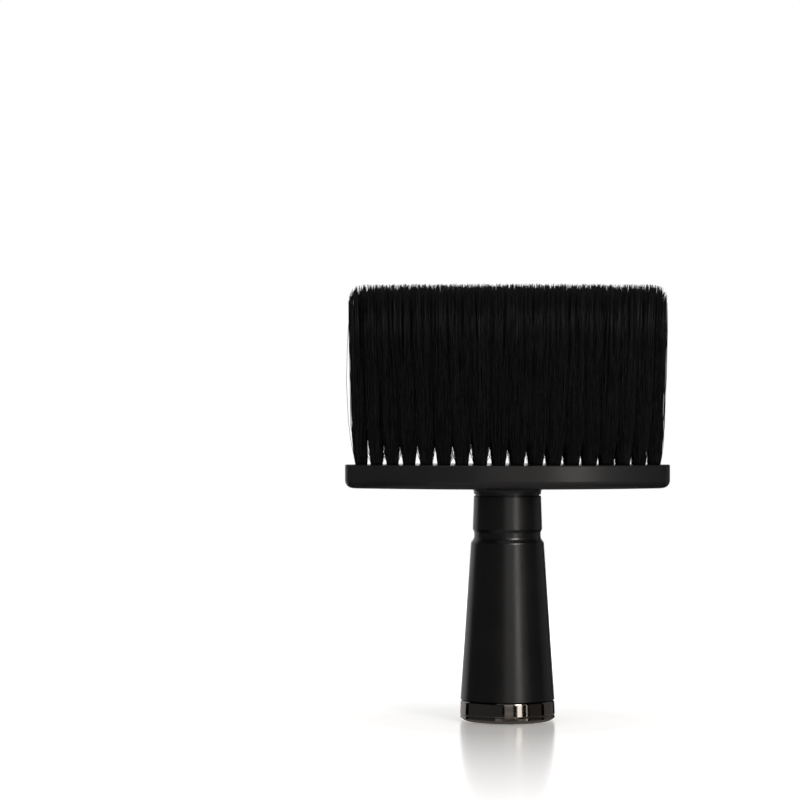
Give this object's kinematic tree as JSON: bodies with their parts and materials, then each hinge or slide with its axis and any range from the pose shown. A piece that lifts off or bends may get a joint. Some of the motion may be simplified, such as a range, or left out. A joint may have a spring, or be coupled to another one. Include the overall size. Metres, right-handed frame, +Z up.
{
  "type": "neck duster brush",
  "caption": "Barber's neck duster: a wide lens-shaped head of soft upright bristles on a collar and a tapered handle that stands on a plated foot.",
  "frame": {"origin": "middle of the foot's lower face, on the handle's axis", "axes": "+Z up along the handle, foot to bristle tips; +X along the head's long way; +Y across the head, with the front towards -Y"},
  "size_m": [0.13, 0.0452, 0.1745],
  "materials": {
    "soft_touch_black": "satin",
    "dark_plating": "polished",
    "bristle_black": "satin",
    "zinc_steel": "satin",
    "insert_brass": "satin"
  },
  "bodies": {
    "root": {"head_block": "soft_touch_black", "neck_collar": "soft_touch_black", "handle_body": "soft_touch_black", "base_ring": "dark_plating", "foot_plug": "dark_plating", "handle_screw": "zinc_steel", "screw_washer": "zinc_steel", "threaded_insert": "insert_brass", "tuft_anchors": "zinc_steel", "tuft_column_01": "bristle_black", "tuft_column_02": "bristle_black", "tuft_column_03": "bristle_black", "tuft_column_04": "bristle_black", "tuft_column_05": "bristle_black", "tuft_column_06": "bristle_black", "tuft_column_07": "bristle_black", "tuft_column_08": "bristle_black", "tuft_column_09": "bristle_black", "tuft_column_10": "bristle_black", "tuft_column_11": "bristle_black", "tuft_column_12": "bristle_black", "tuft_column_13": "bristle_black", "tuft_column_14": "bristle_black", "tuft_column_15": "bristle_black", "tuft_column_16": "bristle_black", "tuft_column_17": "bristle_black", "tuft_column_18": "bristle_black"}
  },
  "joints": []
}
